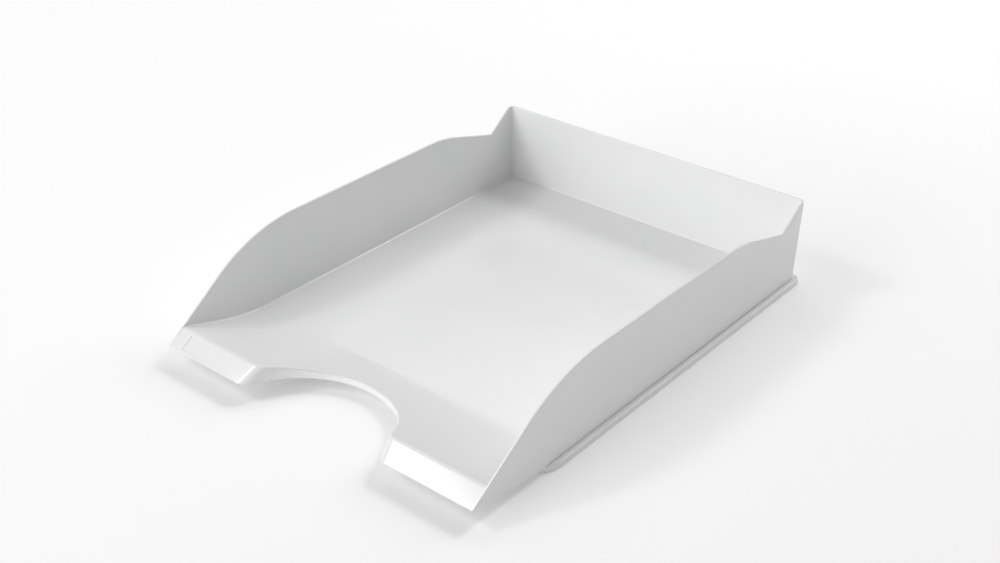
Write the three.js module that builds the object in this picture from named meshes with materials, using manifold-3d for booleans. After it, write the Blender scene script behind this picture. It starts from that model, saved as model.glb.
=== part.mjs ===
// Letter tray for A4 to C4 papers: one low, open-fronted moulded tray, in millimetres.
// +X is to the user's right, +Y to the rear, +Z up. The origin is on the desk, under the middle of the tray.
// The tray is one moulding, so its nodes are its own regions, a hairline GAP apart: the floor, the ramp up
// to the front edge, the two sloping front lips, the rim round the grip cut-out, three walls and the foot.
import * as THREE from "three";
import { mergeVertices } from "three/addons/utils/BufferGeometryUtils.js";
import Module from "manifold-3d";

// Whole tray
const WIDTH = 253; // across the foot
const DEPTH = 337; // from the front lips' edge to the back of the foot
const HEIGHT = 63; // desk to wall crest
const WALL = 1.6; // thickness of every wall, panel and rim
const GAP = 0.3; // hairline between neighbouring regions

// Walls: the upright shell leans out by its draft, and is widest at the crest
const CREST_WIDTH = 249.7;
const CREST_REAR = 334.0; // outer face of the rear wall at the crest, behind the front edge
const SIDE_DRAFT = THREE.MathUtils.degToRad(1.55);
const REAR_DRAFT = THREE.MathUtils.degToRad(0.8);
const WALL_CORNER = 4; // outer radius of the two rear corners

// Side wall outline: distance behind the front edge, height, radius of the bend there
const TIP = { d: 0, z: 12 };
const CREST_START = { d: 73.6, z: HEIGHT, r: 120 };
const CREST_END = { d: 255, z: HEIGHT, r: 100 };
const NOTCH = { d: 307.8, z: 48 };
const PEAK = { d: 328.9, z: HEIGHT };

// Floor, ramp and front lips
const FLOOR_TOP = 5.9;
const RIDGE = { d: 12.4, z: 20.3 }; // top line of the front edge
const RAMP_FOOT = 59.7; // where the straight ramp would meet the floor
const RAMP_BEND = 95; // radius of the hollow bend between ramp and floor
const APRON_BACK = 54; // the lower edge of the whole front falls from the tip to here
const APRON_BACK_Z = 4.7;
const FLOOR_CORNER = 2.4; // rear corners of the floor panel

// Grip cut-out, seen from above
const GRIP_RADIUS = 54;
const GRIP_CENTRE = -4; // of the arc, measured behind the front edge
const GRIP_CORNER = 8; // where the arc runs out into the front edge

// Label field on the left lip
const LABEL_WIDTH = 44.4;
const LABEL_HEIGHT = 10.4;
const LABEL_DEPTH = 0.3;
const LABEL_CENTRE_X = -90;
const LABEL_CENTRE_D = 6;

// Foot: a ledge outside the walls with a skirt down to the desk
const LEDGE_TOP = 4.9;
const FOOT_FRONT = 55.4; // front of the foot, behind the front edge
const FOOT_FRONT_CORNER = 17.4;
const FOOT_REAR_CORNER = 5.4;
const REAR_RAIL_REACH = 8; // the rear foot rail takes in both rear corners, this far forward

const FRONT = -DEPTH / 2;
const LOW = -5; // below the tray, for cutters
const HIGH = HEIGHT + 5; // above the tray, for cutters
const CURVE_STEPS = 10; // points in each small arc
const behind = (d) => FRONT + d; // y of a distance behind the front edge

const wasm = await Module();
wasm.setup();

// A three.js geometry as a solid that can be cut and joined.
function solidOf(geometry) {
  const bare = geometry.clone();
  bare.deleteAttribute("normal");
  bare.deleteAttribute("uv");
  const merged = mergeVertices(bare, 1e-4);
  return new wasm.Manifold(
    new wasm.Mesh({
      numProp: 3,
      vertProperties: new Float32Array(merged.attributes.position.array),
      triVerts: new Uint32Array(merged.index.array),
    }),
  );
}

// A solid back as a three.js geometry.
function geometryOf(solid) {
  const mesh = solid.getMesh();
  const geometry = new THREE.BufferGeometry();
  geometry.setAttribute("position", new THREE.BufferAttribute(mesh.vertProperties, 3));
  geometry.setIndex(new THREE.BufferAttribute(mesh.triVerts, 1));
  geometry.computeVertexNormals();
  return geometry;
}

// Adds a corner with its radius to a path: a straight run, then the arc that rounds the corner off.
function addCorner(path, before, corner, after) {
  if (!corner.r) {
    path.lineTo(corner.u, corner.v);
    return;
  }
  const here = new THREE.Vector2(corner.u, corner.v);
  const back = new THREE.Vector2(before.u, before.v).sub(here).normalize();
  const ahead = new THREE.Vector2(after.u, after.v).sub(here).normalize();
  const half = Math.acos(THREE.MathUtils.clamp(back.dot(ahead), -1, 1)) / 2;
  const reach = corner.r / Math.tan(half);
  const centre = back.clone().add(ahead).normalize().multiplyScalar(corner.r / Math.sin(half)).add(here);
  const start = back.multiplyScalar(reach).add(here);
  const end = ahead.multiplyScalar(reach).add(here);
  const turn = start.clone().sub(here).cross(end.clone().sub(here));
  path.lineTo(start.x, start.y);
  path.absarc(
    centre.x,
    centre.y,
    corner.r,
    Math.atan2(start.y - centre.y, start.x - centre.x),
    Math.atan2(end.y - centre.y, end.x - centre.x),
    turn > 0,
  );
}

// A closed outline from corners { u, v, r }, each rounded by its radius.
function outline(corners) {
  const shape = new THREE.Shape();
  corners.forEach((corner, i) => {
    const before = corners.at(i - 1);
    const after = corners[(i + 1) % corners.length];
    if (i === 0) shape.moveTo(corner.u, corner.v);
    else addCorner(shape, before, corner, after);
  });
  return shape;
}

// A plan outline (u = x, v = y) made solid between two heights.
function plate(shape, low, high) {
  const geometry = new THREE.ExtrudeGeometry(shape, {
    depth: high - low,
    bevelEnabled: false,
    curveSegments: CURVE_STEPS,
  });
  return geometry.translate(0, 0, low);
}

// A side outline (u = y, v = z) made solid from one x to another.
function sideSolid(shape, left, right) {
  const geometry = new THREE.ExtrudeGeometry(shape, {
    depth: right - left,
    bevelEnabled: false,
    curveSegments: CURVE_STEPS,
  });
  const turn = new THREE.Matrix4().makeBasis(
    new THREE.Vector3(0, 1, 0),
    new THREE.Vector3(0, 0, 1),
    new THREE.Vector3(1, 0, 0),
  );
  return solidOf(geometry.applyMatrix4(turn).translate(left, 0, 0));
}

// A box between two corners.
function block(x0, x1, y0, y1, z0, z1) {
  const geometry = new THREE.BoxGeometry(x1 - x0, y1 - y0, z1 - z0);
  return solidOf(geometry.translate((x0 + x1) / 2, (y0 + y1) / 2, (z0 + z1) / 2));
}

// A rectangle seen from above, with its own radius on the front and the rear corners.
function planRectangle(halfWidth, front, rear, frontRadius, rearRadius) {
  return outline([
    { u: 0, v: front },
    { u: halfWidth, v: front, r: frontRadius },
    { u: halfWidth, v: rear, r: rearRadius },
    { u: -halfWidth, v: rear, r: rearRadius },
    { u: -halfWidth, v: front, r: frontRadius },
  ]);
}

// The tub whose skin is the walls: full size at the crest, narrower below it by the draft.
function tub(inset) {
  const half = CREST_WIDTH / 2 - inset;
  const rear = behind(CREST_REAR) - inset;
  const geometry = plate(planRectangle(half, FRONT - 10, rear, 0, WALL_CORNER - inset), LOW, HIGH);
  const place = geometry.attributes.position;
  for (let i = 0; i < place.count; i++) {
    const drop = HEIGHT - place.getZ(i);
    place.setX(i, place.getX(i) * (1 - (drop * Math.tan(SIDE_DRAFT)) / half));
    if (place.getY(i) > 0) place.setY(i, place.getY(i) - drop * Math.tan(REAR_DRAFT));
  }
  return solidOf(geometry);
}

// Half of the tub's inner width at a height.
const innerHalf = (z) => CREST_WIDTH / 2 - WALL - (HEIGHT - z) * Math.tan(SIDE_DRAFT);
const innerRear = (z) => behind(CREST_REAR) - WALL - (HEIGHT - z) * Math.tan(REAR_DRAFT);

// The side view of the walls: sloping front, level crest, notch and rear peak, standing on the ledge.
function wallOutline() {
  const base = LEDGE_TOP + GAP;
  const bendBack = APRON_BACK - (GAP * (APRON_BACK - TIP.d)) / (TIP.z - APRON_BACK_Z);
  return outline([
    { u: behind(TIP.d), v: TIP.z },
    { u: behind(bendBack), v: base },
    { u: behind(CREST_REAR) + 5, v: base },
    { u: behind(CREST_REAR) + 5, v: PEAK.z },
    { u: behind(PEAK.d), v: PEAK.z },
    { u: behind(NOTCH.d), v: NOTCH.z },
    { u: behind(CREST_END.d), v: CREST_END.z, r: CREST_END.r },
    { u: behind(CREST_START.d), v: CREST_START.z, r: CREST_START.r },
  ]);
}

// The side view of the front: lip, ridge, ramp and a stretch of floor, down to the slanting lower edge.
function apronOutline() {
  return outline([
    { u: behind(TIP.d), v: TIP.z },
    { u: behind(APRON_BACK), v: APRON_BACK_Z },
    { u: behind(APRON_BACK + 40), v: APRON_BACK_Z },
    { u: behind(APRON_BACK + 40), v: FLOOR_TOP },
    { u: behind(RAMP_FOOT), v: FLOOR_TOP, r: RAMP_BEND },
    { u: behind(RIDGE.d), v: RIDGE.z },
  ]);
}

// The ramp's bend ends this far behind the front edge, and the flat floor starts just after it.
const rampAngle = Math.atan2(RIDGE.z - FLOOR_TOP, RAMP_FOOT - RIDGE.d);
const FLOOR_START = RAMP_FOOT + RAMP_BEND * Math.tan(rampAngle / 2) + 2 * GAP;

// The side view of the ramp sheet: its top follows the apron, its underside is a wall thickness below.
function rampOutline() {
  const under = WALL / Math.cos(rampAngle);
  const slope = Math.tan(rampAngle);
  const ridgeEnd = RIDGE.d + GAP;
  const ridgeTop = RIDGE.z - GAP * slope;
  return outline([
    { u: behind(ridgeEnd), v: ridgeTop },
    { u: behind(ridgeEnd), v: ridgeTop - under },
    { u: behind(RAMP_FOOT) - WALL * Math.tan(rampAngle / 2), v: FLOOR_TOP - WALL, r: RAMP_BEND + WALL },
    { u: behind(FLOOR_START - GAP), v: FLOOR_TOP - WALL },
    { u: behind(FLOOR_START - GAP), v: FLOOR_TOP },
    { u: behind(RAMP_FOOT), v: FLOOR_TOP, r: RAMP_BEND },
  ]);
}

// The grip cut-out from above, grown by a margin: an arc that runs out into the front edge at each side.
function gripOutline(margin) {
  const radius = GRIP_RADIUS + margin;
  const corner = GRIP_CORNER - margin;
  const rise = behind(margin) + corner - behind(GRIP_CENTRE);
  const across = Math.sqrt((radius + corner) ** 2 - rise ** 2);
  const meet = Math.atan2(rise, across);
  const shape = new THREE.Shape();
  shape.moveTo(-across, behind(-20));
  shape.lineTo(across, behind(-20));
  shape.lineTo(across, behind(margin));
  shape.absarc(across, behind(margin) + corner, corner, -Math.PI / 2, Math.PI + meet, true);
  for (let i = 1; i <= 4 * CURVE_STEPS; i++) {
    const turn = meet + ((Math.PI - 2 * meet) * i) / (4 * CURVE_STEPS);
    shape.lineTo(radius * Math.cos(turn), behind(GRIP_CENTRE) + radius * Math.sin(turn));
  }
  shape.absarc(-across, behind(margin) + corner, corner, -meet, -Math.PI / 2, true);
  return shape;
}

const gripCutter = (margin) => solidOf(plate(gripOutline(margin), LOW, HIGH));

function makeWalls() {
  const skin = tub(0).subtract(tub(WALL)).intersect(sideSolid(wallOutline(), -WIDTH, WIDTH));
  const cornerStart = behind(CREST_REAR - WALL_CORNER);
  return {
    left_side_wall: skin.intersect(block(-WIDTH, 0, FRONT, cornerStart - GAP, LOW, HIGH)),
    right_side_wall: skin.intersect(block(0, WIDTH, FRONT, cornerStart - GAP, LOW, HIGH)),
    rear_wall: skin.intersect(block(-WIDTH, WIDTH, cornerStart, DEPTH, LOW, HIGH)),
  };
}

function makeFloor() {
  const half = innerHalf(FLOOR_TOP - WALL) - GAP;
  const rear = innerRear(FLOOR_TOP - WALL) - GAP;
  const shape = planRectangle(half, behind(FLOOR_START), rear, 0, FLOOR_CORNER);
  return solidOf(plate(shape, FLOOR_TOP - WALL, FLOOR_TOP));
}

function makeRamp() {
  const half = innerHalf(FLOOR_TOP - WALL) - GAP;
  return sideSolid(rampOutline(), -half, half).subtract(gripCutter(WALL + GAP));
}

// The sheet of both front lips: it falls from the ridge to the tip, and its lower edge follows the apron's.
function lipSheet() {
  const half = innerHalf(TIP.z) - GAP;
  const drop = WALL / Math.cos(Math.atan2(RIDGE.z - TIP.z, RIDGE.d - TIP.d));
  const sheet = outline([
    { u: behind(TIP.d), v: TIP.z },
    { u: behind(TIP.d), v: TIP.z - drop },
    { u: behind(RIDGE.d), v: RIDGE.z - drop },
    { u: behind(RIDGE.d), v: RIDGE.z },
  ]);
  return sideSolid(sheet, -half, half)
    .intersect(sideSolid(apronOutline(), -half, half))
    .subtract(gripCutter(WALL + GAP));
}

// A shallow field for a label, sunk into the left lip's sloping face.
function labelField() {
  const slope = Math.atan2(RIDGE.z - TIP.z, RIDGE.d - TIP.d);
  const geometry = new THREE.BoxGeometry(LABEL_WIDTH, LABEL_HEIGHT, 2 * LABEL_DEPTH);
  geometry.rotateX(slope);
  const z = TIP.z + (LABEL_CENTRE_D - TIP.d) * Math.tan(slope);
  return solidOf(geometry.translate(LABEL_CENTRE_X, behind(LABEL_CENTRE_D), z));
}

function makeLips() {
  const sheet = lipSheet();
  return {
    left_front_lip: sheet.intersect(block(-WIDTH, 0, FRONT - 1, 0, LOW, HIGH)).subtract(labelField()),
    right_front_lip: sheet.intersect(block(0, WIDTH, FRONT - 1, 0, LOW, HIGH)),
  };
}

// The upright rim round the grip cut-out, from the lips' and ramp's face down to the slanting lower edge.
function makeGripRim() {
  return gripCutter(WALL)
    .subtract(gripCutter(0))
    .intersect(sideSolid(apronOutline(), -CREST_WIDTH / 2, CREST_WIDTH / 2))
    .intersect(block(-WIDTH, WIDTH, behind(TIP.d) + GAP, 0, LOW, HIGH));
}

// The foot's plan, drawn in from its outer face by a margin.
function footPlan(margin) {
  return planRectangle(
    WIDTH / 2 - margin,
    behind(FOOT_FRONT) + margin,
    -FRONT - margin,
    FOOT_FRONT_CORNER - margin,
    FOOT_REAR_CORNER - margin,
  );
}

// Everything above a surface that lies a margin below the ramp's underside.
function aboveRamp(margin) {
  const depth = WALL + margin;
  const under = depth / Math.cos(rampAngle);
  return sideSolid(
    outline([
      { u: behind(RIDGE.d), v: HIGH },
      { u: behind(RIDGE.d), v: RIDGE.z - under },
      {
        u: behind(RAMP_FOOT) - depth * Math.tan(rampAngle / 2),
        v: FLOOR_TOP - depth,
        r: RAMP_BEND + depth,
      },
      { u: 0, v: FLOOR_TOP - depth },
      { u: 0, v: HIGH },
    ]),
    -WIDTH,
    WIDTH,
  );
}

// The foot has an L section: a ledge outside the walls, and a skirt from the ledge's edge to the desk.
// Its front runs across under the ramp as the skirt alone.
function makeFoot() {
  const half = innerHalf(LEDGE_TOP);
  const inside = block(-half, half, FRONT, innerRear(LEDGE_TOP), LOW, HIGH);
  const ledge = solidOf(plate(footPlan(0), 0, LEDGE_TOP))
    .subtract(solidOf(plate(footPlan(WALL), LOW, LEDGE_TOP - WALL)))
    .subtract(inside);
  const rearEnd = -FRONT - REAR_RAIL_REACH;
  const skirt = solidOf(plate(footPlan(0), 0, HIGH))
    .subtract(solidOf(plate(footPlan(WALL), LOW, HIGH)))
    .subtract(aboveRamp(GAP));
  return {
    left_foot_rail: ledge.intersect(block(-WIDTH, 0, FRONT, rearEnd, LOW, HIGH)),
    right_foot_rail: ledge.intersect(block(0, WIDTH, FRONT, rearEnd, LOW, HIGH)),
    rear_foot_rail: ledge.intersect(block(-WIDTH, WIDTH, rearEnd + GAP, DEPTH, LOW, HIGH)),
    front_foot_rail: skirt.intersect(
      block(-half + GAP, half - GAP, FRONT, behind(FLOOR_START), LOW, HIGH),
    ),
  };
}

// One white semi-gloss polystyrene for the whole moulding.
const polystyrene = () =>
  new THREE.MeshStandardMaterial({ color: 0xeeeeec, roughness: 0.38, metalness: 0 });

const group = new THREE.Group();
const pieces = {
  floor_panel: makeFloor(),
  front_ramp: makeRamp(),
  ...makeLips(),
  grip_rim: makeGripRim(),
  ...makeWalls(),
  ...makeFoot(),
};
for (const [name, solid] of Object.entries(pieces)) {
  const mesh = new THREE.Mesh(geometryOf(solid), polystyrene());
  mesh.name = name;
  group.add(mesh);
}

export default group;
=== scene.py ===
# %% [markdown]
# # A letter tray, moulded in one shot
#
# The tray is a single injection moulding in white polystyrene. It holds sheets up to C4, it is open at
# the front, and the next tray stands on the crests of its side walls. Nothing on it moves.
#
# The fixed frame comes first. It holds the tray's regions at their real size, and every measure below is
# either read from it or named where it is first needed. The whole box is measured before anything is
# added.

# %% The fixed frame
import math

import bmesh
import bpy
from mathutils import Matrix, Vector


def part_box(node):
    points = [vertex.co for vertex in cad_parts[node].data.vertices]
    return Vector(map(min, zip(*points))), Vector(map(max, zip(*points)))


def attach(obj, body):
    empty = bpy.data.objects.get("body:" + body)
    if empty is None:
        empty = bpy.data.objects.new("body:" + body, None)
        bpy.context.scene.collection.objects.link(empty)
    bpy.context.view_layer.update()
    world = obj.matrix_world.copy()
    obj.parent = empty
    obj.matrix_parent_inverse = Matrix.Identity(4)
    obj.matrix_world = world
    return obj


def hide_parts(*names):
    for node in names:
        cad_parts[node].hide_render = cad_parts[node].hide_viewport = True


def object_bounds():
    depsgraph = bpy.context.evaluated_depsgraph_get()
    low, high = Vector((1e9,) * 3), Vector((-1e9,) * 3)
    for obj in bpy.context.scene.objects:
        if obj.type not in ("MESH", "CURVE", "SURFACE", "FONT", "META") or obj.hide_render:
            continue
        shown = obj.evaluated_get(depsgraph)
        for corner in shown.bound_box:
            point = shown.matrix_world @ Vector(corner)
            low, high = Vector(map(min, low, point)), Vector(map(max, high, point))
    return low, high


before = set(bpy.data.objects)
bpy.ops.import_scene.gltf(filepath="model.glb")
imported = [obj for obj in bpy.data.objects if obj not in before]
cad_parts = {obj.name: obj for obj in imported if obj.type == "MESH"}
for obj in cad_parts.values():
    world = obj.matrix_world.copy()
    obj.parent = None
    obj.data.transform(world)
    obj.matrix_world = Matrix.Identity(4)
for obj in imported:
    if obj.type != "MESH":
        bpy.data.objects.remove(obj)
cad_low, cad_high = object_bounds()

print("frame:", len(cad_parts), "regions, box", [round(v, 4) for v in cad_high - cad_low])

# %% [markdown]
# ## Measures
#
# Lengths on a moulding are thought of in millimetres, so MM turns them into metres. Depths are counted
# from the front edge, as a ruler laid in the tray would give them: behind(12) is the y of a line 12 mm
# behind the front edge. Where a region of the frame has the measure, it is read from its box.

# %% Measures read from the frame
MM = 0.001
FRONT = cad_low.y
BACK = cad_high.y
HEIGHT = cad_high.z
HALF_FOOT = cad_high.x


def behind(distance):
    """The y of a line this many millimetres behind the front edge."""
    return FRONT + distance * MM


FLOOR_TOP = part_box("floor_panel")[1].z
WALL = FLOOR_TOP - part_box("floor_panel")[0].z
HALF_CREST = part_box("right_side_wall")[1].x
CREST_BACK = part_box("rear_wall")[1].y
TIP_Z = 12 * MM  # height of the front edge, where the lips and the side walls meet
RIDGE_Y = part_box("left_front_lip")[1].y
RIDGE_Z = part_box("left_front_lip")[1].z
LEDGE_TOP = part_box("left_foot_rail")[1].z
FOOT_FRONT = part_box("front_foot_rail")[0].y
print("wall", round(WALL / MM, 2), "mm, floor top", round(FLOOR_TOP / MM, 2), "mm")
print("ridge", round((RIDGE_Y - FRONT) / MM, 2), "mm behind the front, at", round(RIDGE_Z / MM, 2), "mm")

# %% [markdown]
# ## Camera
#
# The camera stands in front of the tray and to its right, a little above it, and looks down at about
# thirty degrees. It is set first, so that every piece can be judged from it while it is being made.

# %% Camera
CAMERA_AT = Vector((0.4935, -0.5902, 0.4735))
CAMERA_DOWN = math.radians(30.04)
CAMERA_TURN = math.radians(39.83)
LENS = 50.09  # millimetres, on a sensor 36 mm wide

bpy.ops.object.camera_add(
    location=CAMERA_AT, rotation=(math.pi / 2 - CAMERA_DOWN, 0, CAMERA_TURN)
)
camera = bpy.context.object
camera.data.lens = LENS
camera.data.sensor_width = 36
bpy.context.scene.camera = camera
print("camera", round((CAMERA_AT - (cad_low + cad_high) / 2).length, 3), "m from the tray")

# %% [markdown]
# ## Small tools for modelling
#
# An operator acts on all that is selected, so the selection is always cleared first. pick() goes into
# edit mode and selects only the corners, edges or faces that pass a test on their place or normal. A
# modifier is added and applied in one step. The pen draws a line the way a pencil would: it is put down
# as a single point, extruded along straight runs, and spun round the middle of each bend.

# %% Selecting and applying
def only(piece):
    """Selects one piece alone and makes it the active one."""
    if bpy.context.mode != "OBJECT":
        bpy.ops.object.mode_set(mode="OBJECT")
    bpy.ops.object.select_all(action="DESELECT")
    piece.select_set(True)
    bpy.context.view_layer.objects.active = piece


def pick(piece, kind, test):
    """Goes into edit mode and selects the VERTs, EDGEs or FACEs of the piece that pass the test."""
    only(piece)
    bpy.ops.object.mode_set(mode="EDIT")
    bpy.ops.mesh.select_mode(type=kind)
    bpy.ops.mesh.select_all(action="DESELECT")
    mesh = bmesh.from_edit_mesh(piece.data)
    mesh.normal_update()
    found = [e for e in {"VERT": mesh.verts, "EDGE": mesh.edges, "FACE": mesh.faces}[kind] if test(e)]
    for element in found:
        element.select_set(True)
    mesh.select_flush_mode()
    bmesh.update_edit_mesh(piece.data)
    return len(found)


def done():
    """Back to object mode."""
    bpy.ops.object.mode_set(mode="OBJECT")


def middle(element):
    """The middle of an edge or a face."""
    return sum((v.co for v in element.verts), Vector()) / len(element.verts)


def finish_with(piece, kind, **settings):
    """Adds a modifier to the piece, sets it and applies it."""
    only(piece)
    bpy.ops.object.modifier_add(type=kind)
    modifier = piece.modifiers[-1]
    for name, value in settings.items():
        setattr(modifier, name, value)
    bpy.ops.object.modifier_apply(modifier=modifier.name)


def use_up(piece, operation, tool):
    """Cuts, joins or intersects the piece with a tool, which is then thrown away."""
    finish_with(piece, "BOOLEAN", operation=operation, object=tool, solver="EXACT")
    bpy.data.objects.remove(tool)


def slice_off(piece, at, towards):
    """Cuts the piece through a point and throws away what lies towards a direction, closing the cut."""
    pick(piece, "VERT", lambda v: True)
    bpy.ops.mesh.bisect(plane_co=at, plane_no=towards, use_fill=True, clear_outer=True)
    done()


def copy_of(piece, name):
    """A copy with a mesh of its own."""
    only(piece)
    bpy.ops.object.duplicate()
    twin = bpy.context.object
    twin.name = name
    return twin


# %% The pen
WIDE_STEP = math.radians(2)  # turn from one point to the next on a wide bend
TIGHT_STEP = math.radians(12)  # and on a corner
WIDE = 20 * MM  # a bend of a larger radius is wide


def pen_down(name, at):
    """Starts a line: a plane is added and merged to the one point at its middle."""
    if bpy.context.mode != "OBJECT":
        done()
    bpy.ops.object.select_all(action="DESELECT")
    bpy.ops.mesh.primitive_plane_add(size=MM, location=at)
    line = bpy.context.object
    line.name = name
    bpy.ops.object.transform_apply()
    bpy.ops.object.mode_set(mode="EDIT")
    bpy.ops.mesh.select_mode(type="VERT")
    bpy.ops.mesh.select_all(action="SELECT")
    bpy.ops.mesh.merge(type="CENTER")
    return line


def pen_line(to):
    """Runs straight to a point."""
    mesh = bmesh.from_edit_mesh(bpy.context.object.data)
    here = next(v.co.copy() for v in mesh.verts if v.select)
    bpy.ops.mesh.extrude_region_move(TRANSFORM_OT_translate={"value": Vector(to) - here})


def pen_arc(centre, turn, steps, axis=(0, 0, 1)):
    """Runs round a centre by an angle, counted the usual way about the axis."""
    bpy.ops.mesh.spin(steps=steps, angle=-turn, center=centre, axis=axis)


def pen_corner(before, corner, after, radius):
    """Runs to a corner and round it."""
    if not radius:
        pen_line(corner)
        return
    back = (before - corner).normalized()
    ahead = (after - corner).normalized()
    half = back.angle(ahead) / 2
    pen_line(corner + back * radius / math.tan(half))
    centre = corner + (back + ahead).normalized() * radius / math.sin(half)
    turn = math.pi - 2 * half
    steps = math.ceil(turn / (WIDE_STEP if radius > WIDE else TIGHT_STEP))
    pen_arc(centre, turn, steps, axis=ahead.cross(back))


def pen_path(name, corners):
    """Draws a line through (point, radius) corners. It ends at the last of them, in edit mode."""
    points = [Vector(point) for point, radius in corners]
    line = pen_down(name, points[0])
    for i in range(1, len(points) - 1):
        pen_corner(points[i - 1], points[i], points[i + 1], corners[i][1])
    pen_line(points[-1])
    return line


def fill_and_extrude(line, along):
    """Closes the line to a face and pulls that face out into a solid."""
    bpy.ops.mesh.select_all(action="SELECT")
    bpy.ops.mesh.edge_face_add()
    bpy.ops.mesh.extrude_region_move(TRANSFORM_OT_translate={"value": along})
    bpy.ops.mesh.select_all(action="SELECT")
    bpy.ops.mesh.normals_make_consistent(inside=False)
    done()


def side_view(*corners):
    """Corners (mm behind the front, mm high, radius in mm) as points at x 0."""
    return [((0, behind(d), z * MM), r * MM) for d, z, r in corners]


# %% [markdown]
# ## Walls
#
# The three walls are one upright band that leans outwards by its draft, so that the moulding leaves its
# tool. It is made the way a carpenter would make it: a tapered tub with two rounded rear corners is
# hollowed to the wall thickness, and then everything outside the side view of the walls is cut away.
# Booleans suit this, because the long crest curve has to cut both walls at the same height.

# %% The tub
SIDE_DRAFT = math.radians(1.55)
REAR_DRAFT = math.radians(0.8)
WALL_CORNER = 4 * MM
SPARE = 8 * MM  # what is cut away later stands out this far

tub_top = HEIGHT + SPARE
tub_front = FRONT - 2 * SPARE
bpy.ops.object.select_all(action="DESELECT")
bpy.ops.mesh.primitive_cube_add(
    size=1,
    location=(0, (tub_front + CREST_BACK) / 2, tub_top / 2),
    scale=(2 * HALF_CREST, CREST_BACK - tub_front, tub_top),
)
walls = bpy.context.object
walls.name = "walls"
bpy.ops.object.transform_apply()
for level in (0, tub_top):
    lean = level - HEIGHT
    pick(walls, "VERT", lambda v: abs(v.co.z - level) < MM)
    bpy.ops.transform.resize(
        value=(1 + lean * math.tan(SIDE_DRAFT) / HALF_CREST, 1, 1), center_override=(0, 0, level)
    )
    pick(walls, "VERT", lambda v: abs(v.co.z - level) < MM and v.co.y > 0)
    bpy.ops.transform.translate(value=(0, lean * math.tan(REAR_DRAFT), 0))
pick(walls, "EDGE", lambda e: middle(e).y > 0 and abs(e.verts[0].co.z - e.verts[1].co.z) > HEIGHT)
bpy.ops.mesh.bevel(offset=WALL_CORNER, segments=10, affect="EDGES")
pick(walls, "FACE", lambda f: abs(f.normal.z) > 0.5 or f.normal.y < -0.5)
bpy.ops.mesh.delete(type="FACE")
done()
finish_with(walls, "SOLIDIFY", thickness=WALL, offset=-1, use_even_offset=True)
print("tub", len(walls.data.polygons), "faces")

# %% [markdown]
# The side view runs from the tip at the front along the sloping front edge, over the level crest, down
# to the notch, and up to the peak where the rear wall begins. The two bends of the crest are wide arcs.

# %% The side view of the walls
WALL_FOOT = LEDGE_TOP + 0.1 * MM  # a narrow shadow gap stays open between the walls and the foot
CREST_ABOVE_LIP = 0.12 * MM
CREST_START = 73.6  # mm behind the front, as the next four
CREST_END = 255
NOTCH = 307.8
PEAK = 328.9
PAST_THE_BACK = 345
NOTCH_Z = 48  # mm high

front_slope = (HEIGHT - TIP_Z - CREST_ABOVE_LIP) / (CREST_START * MM)
reach_z = (TIP_Z + CREST_ABOVE_LIP - SPARE * front_slope) / MM  # the front slope carried on by SPARE
side = pen_path("side_view", side_view(
    (-SPARE / MM, WALL_FOOT / MM, 0),
    (-SPARE / MM, reach_z, 0),
    (CREST_START, HEIGHT / MM, 120),
    (CREST_END, HEIGHT / MM, 100),
    (NOTCH, NOTCH_Z, 1),
    (PEAK, HEIGHT / MM, 0.6),
    (PAST_THE_BACK, HEIGHT / MM, 0),
    (PAST_THE_BACK, WALL_FOOT / MM, 0),
))
fill_and_extrude(side, (2 * HALF_FOOT, 0, 0))
pick(side, "VERT", lambda v: True)
bpy.ops.transform.translate(value=(-HALF_FOOT, 0, 0))
done()
use_up(walls, "INTERSECT", side)
print("walls", len(walls.data.polygons), "faces")

# %% [markdown]
# The crest is a thin land with both its edges rounded over. Those edges lie between a face that looks up
# and a face of the wall, which is how they are found.

# %% Rounding the crest
CREST_ROUND = 0.5 * MM


def looks_up(face):
    return face.normal.z > 0.5


def stands_up(face):
    return abs(face.normal.z) < 0.3


pick(walls, "EDGE", lambda e: len(e.link_faces) == 2 and any(map(looks_up, e.link_faces))
     and any(map(stands_up, e.link_faces)))
bpy.ops.mesh.bevel(offset=CREST_ROUND, segments=3, affect="EDGES")
done()
print("walls with rounded crest", len(walls.data.polygons), "faces")

# %% [markdown]
# ## Floor, ramp, lips and grip cut-out
#
# All of these are one sheet. Its upper edge T is drawn as seen from above: straight along the ridge, then
# round a small horn into the big arc of the grip cut-out, and out again on the other side. The ramp is
# that line extruded rearwards and flattened step by step, until it is a straight line at the crease
# where the floor begins. A second line B, further forward and lower, is the lower edge of the lips and of
# the rim in the cut-out, and a bridge between T and B makes both in one smooth surface.

# %% The grip line, seen from above
GRIP_RADIUS = 54 * MM
GRIP_CENTRE = Vector((0, behind(-4), 0))
HORN_RADIUS = 8 * MM
SHEET_HALF = HALF_CREST - (HEIGHT - FLOOR_TOP) * math.tan(SIDE_DRAFT) - WALL / 2
HORN_STEPS = 12
GRIP_STEPS = 56
GRIP_END = GRIP_CENTRE.y + GRIP_RADIUS + 2 * MM  # the cut-out lies in front of this line


def grip_line(name, front):
    """The line of the grip cut-out whose straight parts lie at y = front."""
    rise = front + HORN_RADIUS - GRIP_CENTRE.y
    across = math.sqrt((GRIP_RADIUS + HORN_RADIUS) ** 2 - rise**2)
    meet = math.atan2(rise, across)
    line = pen_down(name, (-SHEET_HALF, front, 0))
    pen_line((-across, front, 0))
    pen_arc((-across, front + HORN_RADIUS, 0), math.pi / 2 - meet, HORN_STEPS)
    pen_arc(GRIP_CENTRE, 2 * meet - math.pi, GRIP_STEPS)
    pen_arc((across, front + HORN_RADIUS, 0), math.pi / 2 - meet, HORN_STEPS)
    pen_line((SHEET_HALF, front, 0))
    return line


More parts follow.
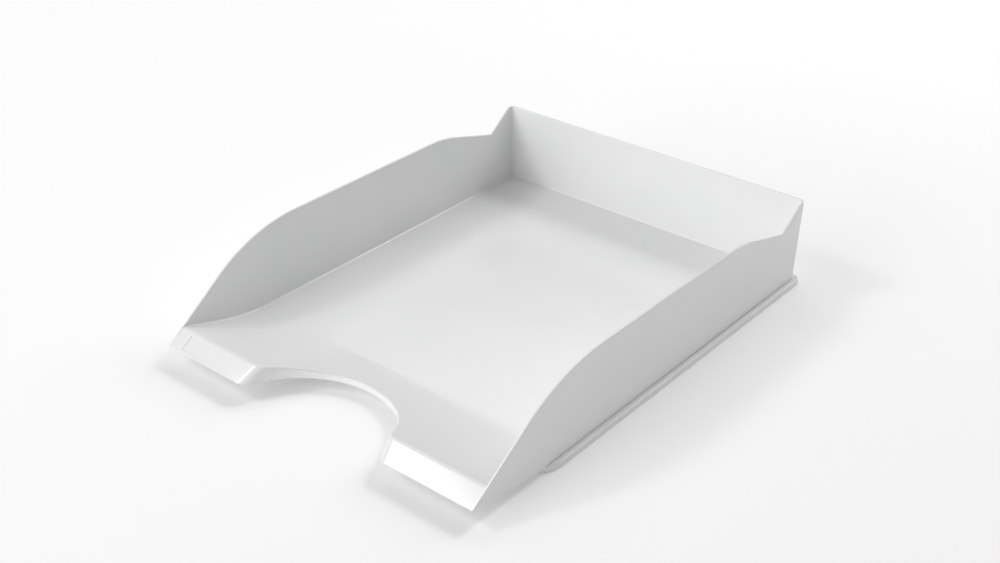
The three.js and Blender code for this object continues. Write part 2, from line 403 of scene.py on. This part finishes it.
# %% The sheet, still flat
CREASE = behind(76)
RAMP_ROWS = 10
SHEET_BACK = CREST_BACK - (HEIGHT - FLOOR_TOP) * math.tan(REAR_DRAFT) - WALL / 2

sheet = grip_line("sheet", RIDGE_Y)
bpy.ops.mesh.select_mode(type="EDGE")
bpy.ops.mesh.select_all(action="SELECT")
for row in range(RAMP_ROWS, 0, -1):
    bpy.ops.mesh.extrude_region_move(TRANSFORM_OT_translate={"value": (0, 0, 0)})
    bpy.ops.transform.resize(value=(1, (row - 1) / row, 1), center_override=(0, CREASE, 0))
done()
print("ramp sheet", len(sheet.data.polygons), "faces")

# %% [markdown]
# The flat sheet is laid over a former, as felt is laid over a block. The former is the side view of the
# ramp, swept sideways: a straight ramp, a hollow bend of wide radius, and the level floor. A Shrinkwrap
# modifier drops every point of the sheet straight down onto it.

# %% The formers
RAMP_RUN = behind(59.7) - RIDGE_Y  # from the ridge to where the straight ramp would reach the floor
RAMP_SLOPE = math.atan2(RIDGE_Z - FLOOR_TOP, RAMP_RUN)
CREASE_SLOPE = math.radians(2.5)  # what is left of the slope where the bend meets the floor
LIP_SLOPE = math.atan2(RIDGE_Z - TIP_Z, RIDGE_Y - FRONT)
APRON_RUN = 54 * MM  # over this length the lower edge of the front falls by APRON_DROP
APRON_DROP = 7.3 * MM
APRON_SLOPE = math.atan2(APRON_DROP, APRON_RUN)
NEAR_FULL = 0.9999  # share of a bend's radius that keeps its end just short of the next point


def former(name, corners):
    """A side view swept across the whole width, to lay a flat sheet on."""
    line = pen_path(name, corners)
    bpy.ops.mesh.select_all(action="SELECT")
    bpy.ops.mesh.extrude_region_move(TRANSFORM_OT_translate={"value": (2 * HALF_FOOT, 0, 0)})
    bpy.ops.mesh.select_all(action="SELECT")
    bpy.ops.transform.translate(value=(-HALF_FOOT, 0, 0))
    done()
    return line


def lay_on(piece, block):
    """Drops the piece straight down or up onto a former, and throws the former away."""
    finish_with(
        piece, "SHRINKWRAP", target=block, wrap_method="PROJECT",
        use_project_z=True, use_negative_direction=True, use_positive_direction=True,
    )
    bpy.data.objects.remove(block)


def ramp_bend():
    """Radius of the bend that joins the straight ramp to the crease, and the corner it rounds."""
    # The bend is tangent to the ramp and still falls by CREASE_SLOPE when it reaches the floor.
    run = CREASE - RIDGE_Y
    drop = RIDGE_Z - FLOOR_TOP
    corner_run = (drop - run * math.tan(CREASE_SLOPE)) / (math.tan(RAMP_SLOPE) - math.tan(CREASE_SLOPE))
    corner = Vector((0, RIDGE_Y + corner_run, RIDGE_Z - corner_run * math.tan(RAMP_SLOPE)))
    tangent = (Vector((0, CREASE, FLOOR_TOP)) - corner).length
    return corner, tangent / math.tan((RAMP_SLOPE - CREASE_SLOPE) / 2)


bend_corner, bend_radius = ramp_bend()
print("ramp falls", round(math.degrees(RAMP_SLOPE), 2), "degrees")
print("bend radius", round(bend_radius / MM, 1), "mm")
ramp_front = RIDGE_Y - SPARE
ramp_former = former("ramp_former", [
    ((0, ramp_front, RIDGE_Z + SPARE * math.tan(RAMP_SLOPE)), 0),
    (bend_corner, bend_radius * NEAR_FULL),
    ((0, CREASE, FLOOR_TOP), 0),
    ((0, CREASE + SPARE, FLOOR_TOP), 0),
])
lay_on(sheet, ramp_former)
heights = [v.co.z / MM for v in sheet.data.vertices]
print("sheet lies from", round(min(heights), 2), "to", round(max(heights), 2), "mm high")

# %% [markdown]
# The lower line B is drawn the same way, a little beyond the real edge, and laid on a plane that slants
# like the underside of the apron. It is joined to the sheet and bridged to the sheet's front edge. The
# floor is the sheet's straight rear edge pulled back to the middle of the rear wall.

# %% The apron: lips and rim
BEYOND = MM  # how far B lies in front of the real edge, on the lip carried on
APRON_FRONT = -2 * SPARE  # the former reaches from here, measured from the front edge
APRON_BACK = 80 * MM  # to here

lower_drop = BEYOND * (math.tan(LIP_SLOPE) + math.tan(APRON_SLOPE))
lower_line = grip_line("lower_line", FRONT - BEYOND)
done()
apron_former = former("apron_former", [
    ((0, FRONT + reach, TIP_Z - reach * math.tan(APRON_SLOPE) - lower_drop), 0)
    for reach in (APRON_FRONT, APRON_BACK)
])
lay_on(lower_line, apron_former)
only(sheet)
lower_line.select_set(True)
bpy.ops.object.join()


def is_grip_line(edge):
    """The front edge of the ramp sheet, or the loose line in front of it."""
    along_the_side = all(abs(v.co.x) > SHEET_HALF - MM / 10 for v in edge.verts)
    return len(edge.link_faces) < 2 and middle(edge).y < GRIP_END and not along_the_side


pick(sheet, "EDGE", is_grip_line)
bpy.ops.mesh.bridge_edge_loops(number_cuts=1, interpolation="LINEAR")
pick(sheet, "EDGE", lambda e: all(abs(v.co.y - CREASE) < MM / 10 for v in e.verts))
bpy.ops.mesh.extrude_region_move(TRANSFORM_OT_translate={"value": (0, SHEET_BACK - CREASE, 0)})
pick(sheet, "FACE", lambda f: middle(f).y > CREASE)
bpy.ops.mesh.dissolve_faces()
done()
print("sheet", len(sheet.data.polygons), "faces")

# %% [markdown]
# The sheet's two rear corners lie inside the rounded corners of the walls, so they are cut back. Then the
# faces are turned up and the sheet gets its thickness on the underside. The sharp line T is rounded over
# last: the same bevel gives the ridge a soft roll, and the rim of the cut-out a tighter one, because
# there the two faces meet more steeply.

# %% Thickness and the rolled edge
EDGE_ROLL = 1.1 * MM
SHEET_CORNER = 3 * MM
SHARP = math.radians(30)  # two faces that meet at more than this make a sharp edge


def floor_looks_up():
    """Whether the largest face of the sheet, the floor, is turned up."""
    return max(sheet.data.polygons, key=lambda p: p.area).normal.z > 0


pick(sheet, "VERT", lambda v: v.co.y > SHEET_BACK - MM and abs(v.co.x) < SHEET_HALF - MM)
bpy.ops.mesh.dissolve_verts()
pick(sheet, "VERT", lambda v: v.co.y > SHEET_BACK - MM)
bpy.ops.mesh.bevel(offset=SHEET_CORNER, segments=5, affect="VERTICES")
bpy.ops.mesh.select_all(action="SELECT")
bpy.ops.mesh.normals_make_consistent(inside=False)
done()
if not floor_looks_up():
    pick(sheet, "FACE", lambda f: True)
    bpy.ops.mesh.flip_normals()
    done()
print("the floor looks", "up" if floor_looks_up() else "down")
finish_with(sheet, "SOLIDIFY", thickness=WALL, offset=-1, use_even_offset=True)


def is_outer_fold(edge):
    """The line T on the upper side, where the ramp folds outwards to a lip or to the rim."""
    at = middle(edge)
    beside_the_ramp = any(f.normal.z > 0.9 for f in edge.link_faces)
    return (beside_the_ramp and edge.is_convex and edge.calc_face_angle() > SHARP
            and at.y < GRIP_END and abs(at.x) < SHEET_HALF - MM / 2)


print("outward fold", pick(sheet, "EDGE", is_outer_fold), "edges")
bpy.ops.mesh.bevel(offset=EDGE_ROLL, segments=4, affect="EDGES")
done()
print("sheet", len(sheet.data.polygons), "faces")

# %% [markdown]
# ## Label field
#
# The left lip has a shallow sunken field for a stick-on label. The cutter is a thin block with rounded
# corners, turned to the slope of the lip. The field is left blank.

# %% Label field
LABEL_WIDTH = 44.4 * MM
LABEL_HEIGHT = 10.4 * MM
LABEL_DEPTH = 0.3 * MM
LABEL_CORNER = 0.6 * MM
LABEL_MIDDLE = 6 * MM  # behind the front edge
LABEL_AT = Vector((-90 * MM, FRONT + LABEL_MIDDLE, TIP_Z + LABEL_MIDDLE * math.tan(LIP_SLOPE)))

bpy.ops.object.select_all(action="DESELECT")
bpy.ops.mesh.primitive_cube_add(
    size=1,
    location=LABEL_AT,
    rotation=(LIP_SLOPE, 0, 0),
    scale=(LABEL_WIDTH, LABEL_HEIGHT, 2 * LABEL_DEPTH),
)
label_cutter = bpy.context.object
bpy.ops.object.transform_apply()
pick(label_cutter, "EDGE", lambda e: abs(e.calc_length() - 2 * LABEL_DEPTH) < MM / 100)
bpy.ops.mesh.bevel(offset=LABEL_CORNER, segments=4, affect="EDGES")
done()
use_up(sheet, "DIFFERENCE", label_cutter)
print("label field", round(LABEL_WIDTH / MM, 1), "by", round(LABEL_HEIGHT / MM, 1), "mm")

# %% [markdown]
# ## One shell
#
# Walls and sheet are joined to one closed body. Both were left a little long at the front, so one slanting
# cut trims the walls, the lips and the rim to a common lower edge, as the parting plane of the mould does.
# Then the inside corner between floor and walls gets its fillet, and the cut edges are rounded.

# %% Joining and trimming
use_up(walls, "UNION", sheet)
shell = walls
shell.name = "shell"
lower_edge = Vector((0, -math.sin(APRON_SLOPE), -math.cos(APRON_SLOPE)))
slice_off(shell, (0, FRONT, TIP_Z), lower_edge)
print("shell", len(shell.data.polygons), "faces")

# %% Fillet round the floor
FILLET = 1.2 * MM
FILLET_FRONT = behind(17)


def is_inside_corner(edge):
    """The line where the upper side of floor and ramp meets a wall."""
    floor_side = any(f.normal.z > 0.9 for f in edge.link_faces)
    wall_side = any(abs(f.normal.z) < 0.1 for f in edge.link_faces)
    return floor_side and wall_side and not edge.is_convex and middle(edge).y > FILLET_FRONT


print("inside corner", pick(shell, "EDGE", is_inside_corner), "edges")
bpy.ops.mesh.bevel(offset=FILLET, segments=4, affect="EDGES")
done()

# %% Rounding the trimmed edges
TRIM_ROUND = 0.35 * MM


def is_trimmed(edge):
    """An outward edge of the slanting cut."""
    on_the_cut = any(f.normal.dot(lower_edge) > 0.9999 for f in edge.link_faces)
    return on_the_cut and edge.is_convex and edge.calc_face_angle() > SHARP


print("trimmed edge", pick(shell, "EDGE", is_trimmed), "edges")
bpy.ops.mesh.bevel(offset=TRIM_ROUND, segments=2, affect="EDGES")
done()

# %% [markdown]
# ## Foot
#
# The tray stands on a low skirt that is a little wider than the walls and sits back from the front edge.
# From outside it shows as a ledge with a rounded rim. It is hollow underneath, as every thick-looking
# part of a moulding is. So the foot's plan is drawn with the pen and pulled up into a block, the faces
# that stay open are deleted, and a Solidify modifier gives what is left the wall thickness. The rim is
# rounded after that, because a bend tighter than the wall would fold the inner skin over itself.

# %% The block of the foot
FOOT_FRONT_CORNER = 17.4 * MM
FOOT_REAR_CORNER = 5.4 * MM


def foot_block(name, height, is_open):
    """The plan of the foot pulled up to a height and hollowed, without the faces that are open."""
    # The plan ends 1 mm from where it starts, and the fill closes it.
    piece = pen_path(name, [
        ((0, FOOT_FRONT, 0), 0),
        ((HALF_FOOT, FOOT_FRONT, 0), FOOT_FRONT_CORNER),
        ((HALF_FOOT, BACK, 0), FOOT_REAR_CORNER),
        ((-HALF_FOOT, BACK, 0), FOOT_REAR_CORNER),
        ((-HALF_FOOT, FOOT_FRONT, 0), FOOT_FRONT_CORNER),
        ((-MM, FOOT_FRONT, 0), 0),
    ])
    fill_and_extrude(piece, (0, 0, height))
    pick(piece, "FACE", is_open)
    bpy.ops.mesh.delete(type="FACE")
    done()
    finish_with(piece, "SOLIDIFY", thickness=WALL, offset=-1, use_even_offset=True)
    return piece


# %% Rim and sole
RIM_ROUND = 0.7 * MM
SOLE_ROUND = 0.4 * MM
SHADOW_GAP = 0.6 * MM  # height of the gap between the walls and the ledge


def outline_at(level):
    """A test for the convex edges that run level at a given height."""
    def test(edge):
        level_edge = all(abs(v.co.z - level) < MM / 100 for v in edge.verts)
        return level_edge and edge.is_convex and edge.calc_face_angle() > SHARP
    return test


foot_top = WALL_FOOT - SHADOW_GAP
foot = foot_block("foot", foot_top, lambda f: f.normal.z < -0.9)
print("rim", pick(foot, "EDGE", outline_at(foot_top)), "edges")
bpy.ops.mesh.bevel(offset=RIM_ROUND, segments=3, affect="EDGES")
done()
print("sole", pick(foot, "EDGE", outline_at(0)), "edges")
bpy.ops.mesh.bevel(offset=SOLE_ROUND, segments=2, affect="EDGES")
done()

# %% [markdown]
# The left, right and rear sides of the foot keep their ledge, and their inside is cut away with a block
# as wide as the sheet. The skirt at the front is only a wall under the ramp, with no ledge. It is made
# from a taller block with no top, and its upper edge is cut along the slope of the ramp, so that it ends
# inside the sheet. Then each side is parted from the next.


# %% Cutting blocks
def block(low, high):
    """A plain cutting block between two corners."""
    low = Vector(low)
    high = Vector(high)
    bpy.ops.object.select_all(action="DESELECT")
    bpy.ops.mesh.primitive_cube_add(size=1, location=(low + high) / 2, scale=high - low)
    bpy.ops.object.transform_apply()
    return bpy.context.object


def keep_between(piece, low, high):
    """Keeps what lies between two corners. A side given as None isn't cut."""
    for axis in range(3):
        towards = Vector((0, 0, 0))
        towards[axis] = 1
        if high[axis] is not None:
            slice_off(piece, towards * high[axis], towards)
        if low[axis] is not None:
            slice_off(piece, towards * low[axis], -towards)
    return piece


# %% The four sides of the foot
REAR_SKIRT = behind(329)  # the left and right sides end here, and the rear side begins

use_up(foot, "DIFFERENCE", block((-SHEET_HALF, FRONT, -SPARE), (SHEET_HALF, SHEET_BACK, SPARE)))
back_foot = keep_between(copy_of(foot, "back_foot"), (None, REAR_SKIRT, None), (None, None, None))
left_foot = keep_between(copy_of(foot, "left_foot"), (None, None, None), (0, REAR_SKIRT, None))
right_foot = keep_between(foot, (0, None, None), (None, REAR_SKIRT, None))
right_foot.name = "right_foot"

SKIRT_TOP = Vector((0, FOOT_FRONT, 7 * MM))  # both points lie inside the thickness of the ramp sheet
SKIRT_END = Vector((0, behind(63), 5.8 * MM))
skirt_run = SKIRT_END - SKIRT_TOP
front_foot = foot_block("front_foot", SPARE, lambda f: abs(f.normal.z) > 0.9)
print("front sole", pick(front_foot, "EDGE", outline_at(0)), "edges")
bpy.ops.mesh.bevel(offset=SOLE_ROUND, segments=2, affect="EDGES")
done()
keep_between(front_foot, (None, None, None), (None, SKIRT_END.y, None))
keep_between(front_foot, (-SHEET_HALF, None, None), (SHEET_HALF, None, None))
slice_off(front_foot, SKIRT_TOP, Vector((0, -skirt_run.z, skirt_run.y)).normalized())
for side_piece in (front_foot, left_foot, right_foot, back_foot):
    print(side_piece.name, len(side_piece.data.polygons), "faces")

# %% [markdown]
# ## Parting the shell
#
# The real tray is one moulding, but its regions are handled one by one: each has its own name and takes
# the place of its own region in the fixed frame. The shell is copied and cut where its surface runs on
# straight, beside the fillets or square across them, so that no seam shows where two regions meet.

# %% Where the regions part
PART_SIDE = 119.5 * MM
PART_REAR = behind(326)
PART_RAMP = behind(78)
PART_LIP = behind(16)
LIP_END = 62 * MM


def part_of_shell(name, low, high):
    """A region of the shell between two corners, closed where it was cut."""
    return keep_between(copy_of(shell, name), low, high)


back_wall = part_of_shell("back_wall", (None, PART_REAR, None), (None, None, None))
keep_between(shell, (None, None, None), (None, PART_REAR, None))
left_wall = part_of_shell("left_wall", (None, None, None), (-PART_SIDE, None, None))
right_wall = part_of_shell("right_wall", (PART_SIDE, None, None), (None, None, None))
keep_between(shell, (-PART_SIDE, None, None), (PART_SIDE, None, None))
floor_sheet = part_of_shell("floor_sheet", (None, PART_RAMP, None), (None, None, None))
keep_between(shell, (None, None, None), (None, PART_RAMP, None))
left_lip = part_of_shell("left_lip", (None, None, None), (-LIP_END, PART_LIP, None))
right_lip = part_of_shell("right_lip", (LIP_END, None, None), (None, PART_LIP, None))
for lip_side in (-1, 1):
    corners = sorted((lip_side * LIP_END, lip_side * HALF_FOOT))
    lip_block = block((corners[0], FRONT - SPARE, -SPARE), (corners[1], PART_LIP, HEIGHT))
    use_up(shell, "DIFFERENCE", lip_block)
ramp_with_grip = shell
ramp_with_grip.name = "ramp_with_grip"

# %% [markdown]
# ## Smooth shading
#
# Rounded stretches are made of narrow flat faces. Smooth shading by angle blends them, and keeps the
# edges that really are sharp. Weighted normals then let the large flat faces decide the shading, so that
# a wall doesn't look pillowy next to its rounded edge.

# %% Shading
SMOOTH_UP_TO = math.radians(32)

pieces = {
    floor_sheet: ["floor_panel"],
    ramp_with_grip: ["front_ramp", "grip_rim"],
    left_lip: ["left_front_lip"],
    right_lip: ["right_front_lip"],
    left_wall: ["left_side_wall"],
    right_wall: ["right_side_wall"],
    back_wall: ["rear_wall"],
    left_foot: ["left_foot_rail"],
    right_foot: ["right_foot_rail"],
    back_foot: ["rear_foot_rail"],
    front_foot: ["front_foot_rail"],
}
for piece in pieces:
    only(piece)
    bpy.ops.object.shade_smooth_by_angle(angle=SMOOTH_UP_TO)
    finish_with(piece, "WEIGHTED_NORMAL", keep_sharp=True)
    print(piece.name, len(piece.data.polygons), "faces")

# %% [markdown]
# ## Material: moulded polystyrene
#
# The tray is polystyrene coloured through with white pigment and moulded against a fine-ground steel
# tool. To the eye that is a clean, neutral white with a soft gloss: it mirrors a neighbouring
# wall faintly when seen at a low angle, and lamps only as broad sheens. Two small things keep it from
# looking like paper. Tint and gloss change a little over a few centimetres, where the melt ran
# differently. And the tool left a fine grain. Both are noise textures in the tray's own coordinates, so
# they run on without a break where two regions meet.

# %% Colours and nodes
def linear(code):
    """An sRGB hex value as linear colour with full alpha."""
    parts = [int(code[i:i + 2], 16) / 255 for i in (0, 2, 4)]
    return [c / 12.92 if c <= 0.04045 else ((c + 0.055) / 1.055) ** 2.4 for c in parts] + [1]


def add(tree, kind, settings=None, inputs=None, links=None):
    """Adds a node, sets its properties and input values, and links outputs of others to its inputs."""
    node = tree.nodes.new(kind)
    for name, value in (settings or {}).items():
        setattr(node, name, value)
    for name, value in (inputs or {}).items():
        node.inputs[name].default_value = value
    for name, (source, output) in (links or {}).items():
        tree.links.new(source.outputs[output], node.inputs[name])
    return node


# %% Polystyrene
FLOW_SIZE = 45 * MM  # patches where the melt cooled a little differently
GRAIN_SIZE = 0.9 * MM  # the real grain is nearer 0.1 mm and would vanish at this distance
GRAIN_DEPTH = 0.006 * MM
GLOSSIEST = 0.15  # roughness
DULLEST = 0.25
REFRACTION = 1.59

polystyrene = bpy.data.materials.new("moulded_white_polystyrene")
polystyrene.use_nodes = True
tree = polystyrene.node_tree
tree.nodes.clear()
place = add(tree, "ShaderNodeTexCoord")
flow = add(
    tree, "ShaderNodeTexNoise",
    inputs={"Scale": 1 / FLOW_SIZE, "Detail": 2.0, "Roughness": 0.45},
    links={"Vector": (place, "Object")},
)
gloss = add(
    tree, "ShaderNodeMapRange",
    inputs={"To Min": GLOSSIEST, "To Max": DULLEST},
    links={"Value": (flow, "Fac")},
)
tint = add(
    tree, "ShaderNodeValToRGB",
    links={"Fac": (flow, "Fac")},
)
tint.color_ramp.elements[0].color = linear("ECEDED")
tint.color_ramp.elements[1].color = linear("F2F2F2")
grain = add(
    tree, "ShaderNodeTexNoise",
    inputs={"Scale": 1 / GRAIN_SIZE, "Detail": 3.0, "Roughness": 0.6},
    links={"Vector": (place, "Object")},
)
surface = add(
    tree, "ShaderNodeBump",
    inputs={"Strength": 1.0, "Distance": GRAIN_DEPTH},
    links={"Height": (grain, "Fac")},
)
shader = add(
    tree, "ShaderNodeBsdfPrincipled",
    inputs={"IOR": REFRACTION, "Metallic": 0.0},
    links={
        "Base Color": (tint, "Color"),
        "Roughness": (gloss, "Result"),
        "Normal": (surface, "Normal"),
    },
)
add(tree, "ShaderNodeOutputMaterial", links={"Surface": (shader, "BSDF")})
for piece in pieces:
    piece.data.materials.clear()
    piece.data.materials.append(polystyrene)
print("polystyrene on", len(pieces), "pieces")

# %% [markdown]
# ## Into the frame
#
# Nothing on the tray moves, so every piece rides on the one body there is. Each takes the place of its
# region of the fixed frame.
# region of the fixed frame, and its finish goes by the name of the record's plastic.

# %% Riding and replacing
for piece, regions in pieces.items():
    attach(piece, "root")
    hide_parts(*regions)
print(sum(map(len, pieces.values())), "regions replaced")

# %% [markdown]
# ## Studio
#
# A sheet of matt white board, far larger than the tray, lies under it. It glows slightly, so that the
# ground stays near white and the lower edges of the tray are lit from below. A dim white room fills the
# shade, and eight soft square lamps are turned to the middle of the tray. They stand in front of it, to
# its left and behind it and none at its right side, so the faces that turn to the right fall into a mild
# shade. The tones are shown as they are, without a film curve.

# %% Board and light
BOARD = 20.0  # metres
BOARD_BELOW = 0.05 * MM  # under the sole, so that the two surfaces never share a plane
BOARD_GLOW = 0.12
ROOM_LIGHT = 0.25

bpy.ops.object.select_all(action="DESELECT")
bpy.ops.mesh.primitive_plane_add(size=BOARD, location=(0, 0, 0))
board = bpy.context.object
board.name = "studio_board"
board.location.z = -BOARD_BELOW
bpy.ops.object.transform_apply()
white_board = bpy.data.materials.new("matt_white_board")
white_board.use_nodes = True
board_shader = white_board.node_tree.nodes["Principled BSDF"]
board_shader.inputs["Base Color"].default_value = linear("F7F7F7")
board_shader.inputs["Roughness"].default_value = 0.9
board_shader.inputs["Specular IOR Level"].default_value = 0.2
board_shader.inputs["Emission Color"].default_value = linear("FFFFFF")
board_shader.inputs["Emission Strength"].default_value = BOARD_GLOW
board.data.materials.append(white_board)

room = bpy.data.worlds.new("white_room")
bpy.context.scene.world = room
room.use_nodes = True
room.node_tree.nodes["Background"].inputs["Color"].default_value = linear("FFFFFF")
room.node_tree.nodes["Background"].inputs["Strength"].default_value = ROOM_LIGHT


def lamp(name, place, size, power):
    """A square soft lamp that points at the middle of the tray."""
    aim = Vector(place) - Vector((0, 0, HEIGHT / 2))
    bpy.ops.object.light_add(type="AREA", location=place, rotation=aim.to_track_quat("Z", "Y").to_euler())
    light = bpy.context.object
    light.name = name
    light.data.size = size
    light.data.energy = power


lamp("key_lamp", (-1.3, -1.1, 1.7), 0.45, 8)  # small, for the thin bright lines on crests and fillet
lamp("left_lamp", (-2.2, -0.2, 0.8), 1.2, 3)  # low at the left, lights the inside of the right wall
lamp("rear_left_lamp", (-1.2, 1.2, 1.8), 1.2, 7)  # from behind at the left, onto floor and ramp
lamp("rear_lamp", (0.3, 2.2, 1.4), 1.4, 18)  # from behind, onto floor and ramp
lamp("front_high_lamp", (-0.6, -2.0, 1.6), 1.6, 12)  # the broad light on the floor and the rear wall
lamp("front_left_low_lamp", (-1.2, -2.2, 0.7), 2.0, 11)  # broad, lights the lips and the rim
lamp("low_lamp", (-0.3, -2.6, 0.5), 1.0, 15)  # lights the inside of the rear wall from low in front
lamp("rear_high_lamp", (0.4, 1.6, 2.0), 0.5, 12)  # small, for the bright line on the right wall's crest
bpy.context.scene.view_settings.view_transform = "Standard"
